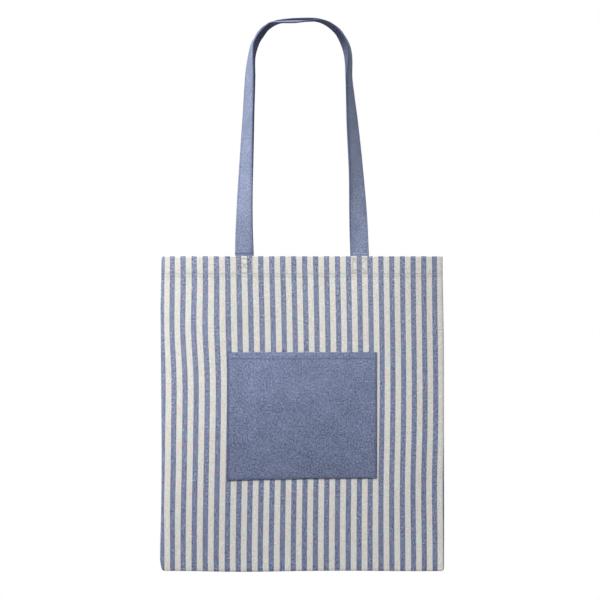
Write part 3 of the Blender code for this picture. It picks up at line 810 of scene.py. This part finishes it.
def build_overlocking(node, material):
    """Thread wound round the allowance's raw edge, in flattened turns."""
    centre, along, inward, length, width, half = allowance_place(node)
    turns, points_per_turn, reach, sides = round(length / OVERLOCK_PITCH), 12, 0.62, 5
    phase = np.arange(turns * points_per_turn + 1) / points_per_turn
    over, out = np.cos(2 * math.pi * phase), np.sin(2 * math.pi * phase)
    flat_over, flat_out = np.sign(over) * np.abs(over) ** 0.6, np.sign(out) * np.abs(out) ** 0.6
    run = (phase / turns - 0.5) * (length - 0.002)
    across = (0.5 - reach / 2) * width + flat_over * (reach / 2 * width + 0.0002)
    path = (centre + along * run[:, None] + inward * across[:, None]
            + OUTWARD * (flat_out * half * 1.12)[:, None])
    radial = unit(inward * over[:, None] + OUTWARD * out[:, None])
    second = unit(np.cross(unit(np.gradient(path, axis=0)), radial))
    angles = (np.arange(sides) * 2 * math.pi / sides)[None, :, None]
    ring = radial[:, None] * np.cos(angles) + second[:, None] * np.sin(angles)
    uvs = joined(np.arange(sides + 1) * 0.0002, (np.arange(len(path)) * 0.0008)[:, None])
    return add_skin(f"{node}_overlocking", path[:, None] + OVERLOCK_RADIUS * ring, uvs, material)


# ---- Materials

class Field:
    """A number, colour or vector that varies over a surface: a node's output, with arithmetic."""

    def __init__(self, tree, socket):
        self.tree, self.socket = tree, socket

    def calc(self, operation, *others):
        return add_node(self.tree, "Math", dict(enumerate((self, *others))), operation=operation)

    def __add__(self, other):
        return self.calc("ADD", other)

    def __sub__(self, other):
        return self.calc("SUBTRACT", other)

    def __mul__(self, other):
        return self.calc("MULTIPLY", other)

    def __abs__(self):
        return self.calc("ABSOLUTE")

    def remap(self, low, high, new_low, new_high, smooth=False):
        inputs = {0: self, 1: low, 2: high, 3: new_low, 4: new_high}
        kind = "SMOOTHSTEP" if smooth else "LINEAR"
        return add_node(self.tree, "MapRange", inputs, interpolation_type=kind)

    def mix(self, first, second):
        """A colour that is the first where this field is 0 and the second where it is 1."""
        return add_node(self.tree, "Mix", {0: self, 6: first, 7: second}, output=2, data_type="RGBA")

    def tinted(self, red, green, blue):
        """This colour with each of its channels multiplied."""
        factors = add_node(self.tree, "CombineColor", {0: red, 1: green, 2: blue})
        inputs = {0: 1.0, 6: self, 7: factors}
        return add_node(self.tree, "Mix", inputs, output=2, data_type="RGBA", blend_type="MULTIPLY")


def set_inputs(node, inputs):
    """Links a node's inputs, where given a field, or sets them."""
    for key, value in inputs.items():
        if isinstance(value, Field):
            value.tree.links.new(value.socket, node.inputs[key])
        else:
            node.inputs[key].default_value = value


def add_node(tree, kind, inputs=None, output=0, **settings):
    """Adds a shader node and gives one of its outputs as a field."""
    made = tree.nodes.new("ShaderNode" + kind)
    for name, value in settings.items():
        setattr(made, name, value)
    set_inputs(made, inputs or {})
    return Field(tree, made.outputs[output]) if made.outputs else None


def noise(u, v, grain_u, grain_v, detail=1.0, seed=0.0):
    """Noise with blotches of about the given size, in metres across and along the cloth."""
    place = add_node(u.tree, "CombineXYZ", {0: u * (1 / grain_u), 1: v * (1 / grain_v), 2: seed})
    return add_node(u.tree, "TexNoise", {"Vector": place, "Scale": 1.0, "Detail": detail})


def new_material(name):
    material = bpy.data.materials.new(name)
    material.use_nodes = True
    return material, material.node_tree, material.node_tree.nodes["Principled BSDF"]


def cloth_coordinates(tree):
    place = add_node(tree, "UVMap", uv_map="cloth")
    return [add_node(tree, "SeparateXYZ", {0: place}, output=axis) for axis in (0, 1)]


def plain_weave(u, v, warp_pitch, weft_pitch):
    """Over-and-under field of a plain weave: above 0 the warp is on top, below 0 the weft."""
    wander_u = noise(u, v, 0.004, 0.012, seed=3.0) * (warp_pitch * 0.9) + u
    wander_v = noise(u, v, 0.012, 0.004, seed=5.0) * (weft_pitch * 0.9) + v
    warp = (wander_u * (math.pi / warp_pitch)).calc("SINE")
    return warp * (wander_v * (math.pi / weft_pitch)).calc("SINE")


def slubs(u, v, fine, coarse):
    """Uneven yarns, around 0: streaks along warp and weft, specks and blotches. Also the specks alone."""
    warp_streak = noise(u, v, 0.0008, 0.011, 2.0, seed=11.0) - 0.5
    weft_streak = noise(u, v, 0.010, 0.0008, 2.0, seed=17.0) - 0.5
    specks = noise(u, v, 0.0020, 0.0024, 2.0, seed=23.0) - 0.5
    blotches = noise(u, v, 0.019, 0.027, 3.0, seed=29.0) - 0.5
    streaks = (warp_streak + weft_streak) * fine
    return streaks + specks * (fine * 1.8) + blotches * coarse, specks


def weft_share(crossing, specks, bias):
    """1 where the weft lies on top, oftener where the bias is higher; the specks break up its rows."""
    return (crossing - (specks * 1.1 + bias)).remap(0.12, -0.12, 0.0, 1.0, True)


def finish_cloth(tree, shader, colour, crossing, uneven, thickness):
    """Painted shade along seams, folds and edges, a lighter bottom rim that is partly wear and partly
    painted light, and the roughness and bump that every cloth here shares.
    """
    marks = ("painted_shade", "wear_and_painted_light")
    painted_shade, wear_and_painted_light = [add_node(tree, "Attribute", output="Fac", attribute_name=mark) for mark in marks]
    # painted shade: the first mark darkens the colour and tints it blue; the second lightens it, partly as
    # wear and partly as painted light
    lightness = (uneven + 1.0) * wear_and_painted_light.remap(0.0, 1.0, 1.0, 1.25)
    tones = [lightness * painted_shade.remap(0.0, 2.0, 1.0, deepest) for deepest in PAINTED_SHADE_TINT]
    height = uneven * 0.8 + abs(crossing).calc("SQRT")
    set_inputs(shader, {
        "Base Color": colour.tinted(*tones),
        "Roughness": uneven * 0.25 + 0.88,
        "Normal": add_node(tree, "Bump", {"Height": height, "Strength": 0.45, "Distance": thickness}),
        "Sheen Weight": 0.12,
        "Sheen Roughness": 0.5,
        "Specular IOR Level": 0.2,
    })


def striped_canvas():
    """Warp-faced canvas with blue stripes dyed in the warp and a natural weft, with painted shade darkening
    it towards the bottom.
    """
    material, tree, shader = new_material("striped_canvas")
    u, v = cloth_coordinates(tree)
    crossing = plain_weave(u, v, WARP_PITCH, CANVAS_WEFT_PITCH)
    yarn = u.calc("DIVIDE", WARP_PITCH).calc("FLOOR") * WARP_PITCH
    yarn = yarn + (WARP_PITCH / 2 - STRIPE_CENTRE + STRIPE_PERIOD / 2)
    off_centre = abs(yarn.calc("FLOORED_MODULO", STRIPE_PERIOD) - STRIPE_PERIOD / 2)
    is_blue = off_centre.remap(STRIPE_WIDTH / 2 + 0.0001, STRIPE_WIDTH / 2 - 0.0001, 0.0, 1.0)
    uneven, specks = slubs(u, v, 0.38, 0.11)
    uneven = uneven * (is_blue * 1.05 + 0.95)
    tint = noise(u, v, 0.009, 0.016, 2.0, seed=41.0).remap(0.3, 0.7, 0.0, 1.0)
    natural = tint.mix(*CREAM)
    dye = uneven.remap(-0.7, 0.7, 0.66, 1.38) * off_centre.remap(0.0, STRIPE_WIDTH / 2, 1.08, 0.84)
    # painted shade: the blue darkens towards the bottom
    blue = v.remap(0.0, BAG_HEIGHT, 0.0, 1.0).mix(*STRIPE_BLUE).tinted(dye, dye, dye)
    colour = weft_share(crossing, specks, -0.42).mix(is_blue.mix(natural, blue), natural)
    # painted shade darkens the canvas near the bottom
    painted_low_shade = v.remap(0.06, 0.24, 0.925, 1.0, True)
    finish_cloth(tree, shader, colour.tinted(painted_low_shade, painted_low_shade, painted_low_shade), crossing, uneven, 0.00016)
    return material


def chambray(name, warp_colours, weft_colour, grain, fade=(0.0, 1.0, 0.0, 0.0)):
    """Blue warp across a pale weft, with slubby yarns; fade remaps the height to a lightness, which is
    painted shade.
    """
    material, tree, shader = new_material(name)
    u, v = cloth_coordinates(tree)
    crossing = plain_weave(u, v, *CHAMBRAY_PITCHES)
    uneven, specks = slubs(u, v, grain, 0.40)
    # from here on the yarns' unevenness also carries the painted shade of the height ramp
    uneven = uneven + v.remap(*fade)
    warp = uneven.remap(-0.3, 0.3, 0.0, 1.0).mix(*warp_colours)
    colour = weft_share(crossing, specks, -0.02).mix(warp, weft_colour)
    finish_cloth(tree, shader, colour, crossing, uneven, 0.00014)
    return material


def thread_material(name, colour, shade):
    """Two-ply sewing thread: its twist shows as slanting bands."""
    material, tree, shader = new_material(name)
    u, v = cloth_coordinates(tree)
    twist = ((v * 2.2 + u) * (2 * math.pi / TWIST_PITCH)).calc("SINE").remap(-1.0, 1.0, 0.0, 1.0)
    mottle = noise(u, v, 0.003, 0.003, 1.0, seed=2.0)
    set_inputs(shader, {
        "Base Color": (mottle * 0.35).mix(twist.mix(shade, colour), shade),
        "Roughness": mottle.remap(0.0, 1.0, 0.55, 0.75),
        "Normal": add_node(tree, "Bump", {"Height": twist, "Strength": 0.5, "Distance": 0.00008}),
        "Sheen Weight": 0.1,
        "Specular IOR Level": 0.3,
    })
    return material


# ---- Stage

def build_camera():
    data = bpy.data.cameras.new("camera")
    data.sensor_width = SENSOR
    data.lens = SENSOR * CAMERA_DISTANCE / FRAME_WIDTH
    camera = bpy.data.objects.new("camera", data)
    camera.location = (CAMERA_X, -CAMERA_DISTANCE, CAMERA_Z)
    camera.rotation_euler = (math.radians(90), 0, 0)
    scene.collection.objects.link(camera)
    scene.camera = camera
    scene.view_settings.view_transform = "Standard"


def build_world():
    """A white surround. What lights the bag falls off from the upper left to a dark underside."""
    world = bpy.data.worlds.new("studio")
    scene.world = world
    world.use_nodes = True
    tree = world.node_tree
    tree.nodes.clear()
    direction = add_node(tree, "TexCoord", output="Generated")
    slope = add_node(tree, "VectorMath", {0: direction, 1: WORLD_SLOPE}, "Value", operation="DOT_PRODUCT")
    away, up = [add_node(tree, "SeparateXYZ", {0: direction}, axis) for axis in (1, 2)]
    light = (slope + WORLD_LEVEL).calc("MAXIMUM", 0.0) * up.remap(-0.30, 0.15, 0.22, 1.0, True)
    light = away.calc("MAXIMUM", 0.0).calc("POWER", 2.0) * WORLD_BEHIND + light
    lighting = add_node(tree, "Background", {"Color": (0.935, 0.965, 1.0, 1.0), "Strength": light})
    shown = add_node(tree, "Background", {"Color": WHITE, "Strength": 1.0})
    seen = add_node(tree, "LightPath", output="Is Camera Ray")
    add_node(tree, "OutputWorld", {"Surface": add_node(tree, "MixShader", {0: seen, 1: lighting, 2: shown})})


def build_key_light():
    data = bpy.data.lights.new("key_light", "AREA")
    data.shape = "DISK"
    data.size = KEY_SIZE
    data.energy = KEY_POWER
    data.color = (1.0, 0.985, 0.945)
    light = bpy.data.objects.new("key_light", data)
    light.location = KEY_PLACE
    aim = Vector((0, 0, TOP_Z)) - KEY_PLACE
    light.rotation_euler = aim.to_track_quat("-Z", "Y").to_euler()
    scene.collection.objects.link(light)


def build_floor():
    """A pale floor under the bag that fades into the white surround."""
    turn = np.arange(FLOOR_SIDES) * 2 * math.pi / FLOOR_SIDES
    points = joined(FLOOR_RADIUS * np.cos(turn), FLOOR_RADIUS * np.sin(turn), BOTTOM_Z - FLOOR_DROP)
    material, tree, shader = new_material("pale_floor")
    set_inputs(shader, {"Base Color": (0.86, 0.86, 0.86, 1.0), "Roughness": 0.9})
    place = add_node(tree, "NewGeometry", output="Position")
    level = add_node(tree, "VectorMath", {0: place, 1: (1.0, 1.0, 0.0)}, operation="MULTIPLY")
    distance = add_node(tree, "VectorMath", {0: level}, "Value", operation="LENGTH")
    white = add_node(tree, "Emission", {"Color": WHITE, "Strength": 1.0})
    fade = {0: distance.remap(0.35, 0.80, 0.0, 1.0, True), 1: Field(tree, shader.outputs[0]), 2: white}
    set_inputs(tree.nodes["Material Output"], {"Surface": add_node(tree, "MixShader", fade)})
    floor = add_piece("floor", points, [list(range(FLOOR_SIDES))], points[:, :2], material)
    floor.visible_diffuse = False


# ---- Build

def settle(piece, body, slot, *nodes):
    """Rides a piece on its body and hides the CAD nodes that it stands for; its slot is not used."""
    if body is not None:
        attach(piece, body)
    if nodes:
        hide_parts(*nodes)


def build_body(canvas, natural, overlock):
    for name, side in (("front", FRONT), ("back", BACK)):
        panel = build_panel(f"{name}_cloth", side, canvas)
        settle(panel, "bag", "striped_canvas", f"{name}_panel")
        hem = build_hem_stitches(f"{name}_hem_stitches", side, natural)
        settle(hem, "bag", "natural_thread", f"{name}_hem_thread")
        for place_name, place in BOXES.items():
            box = build_box_stitches(f"{name}_{place_name}_box_stitches", side, place, natural)
            settle(box, "bag", "natural_thread", f"{name}_{place_name}_box_thread")
    for node in ("left_side_seam", "right_side_seam", "bottom_seam"):
        settle(build_allowance(node, canvas), "bag", "striped_canvas", node)
        settle(build_overlocking(node, overlock), "bag", "overlock_thread")


def build_front_pocket(cloth, blue_thread):
    pocket = build_pocket(cloth)
    settle(pocket, "bag", "blue_chambray", "front_pocket")
    edge, hem = build_pocket_stitches(blue_thread)
    settle(edge, "bag", "blue_thread", "pocket_edge_thread")
    settle(hem, "bag", "blue_thread", "pocket_hem_thread")


def build_handles(cloth, natural, blue_thread):
    """Both handles."""
    for name, side in (("front_handle", FRONT), ("back_handle", BACK)):
        tape = build_tape(f"{name}_tape", side, cloth)
        settle(tape, None, "blue_chambray", name, f"{name}_left_end", f"{name}_right_end")
        moving = [tape]
        for edge_name, edge in (("inner", 1), ("outer", -1)):
            stitches = build_edge_stitches(f"{name}_{edge_name}_edge_stitches", side, edge, blue_thread)
            settle(stitches, None, "blue_thread", f"{name}_{edge_name}_edge_thread")
            moving.append(stitches)
        for foot, sign, slot, thread in (("left", -1, "blue_thread", blue_thread),
                                         ("right", 1, "natural_thread", natural)):
            row = build_foot_row(f"{name}_{foot}_foot_row", side, sign, thread)
            settle(row, None, slot)
            moving.append(row)
        hinge_y = side * (panel_depth(HANDLE_CENTRE_X, TOP_Z) - HEM / 2)
        for piece in moving:
            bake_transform(piece)


def main():
    build_camera()
    build_world()
    build_key_light()
    build_floor()
    canvas = striped_canvas()
    # the pocket's last argument paints shade, darker towards its bottom
    pocket_cloth = chambray("pocket_chambray", POCKET_WARP, POCKET_WEFT, 0.58, (0.0, 0.17, -0.18, 0.07))
    tape_cloth = chambray("handle_chambray", HANDLE_WARP, HANDLE_WEFT, 0.34)
    natural = thread_material("natural_thread", (0.86, 0.84, 0.79, 1.0), (0.62, 0.60, 0.56, 1.0))
    overlock = thread_material("overlock_thread", (0.82, 0.80, 0.74, 1.0), (0.60, 0.58, 0.52, 1.0))
    blue_thread = thread_material("blue_thread", (0.185, 0.220, 0.37, 1.0), (0.110, 0.135, 0.245, 1.0))
    build_body(canvas, natural, overlock)
    build_front_pocket(pocket_cloth, blue_thread)
    build_handles(tape_cloth, natural, blue_thread)


main()
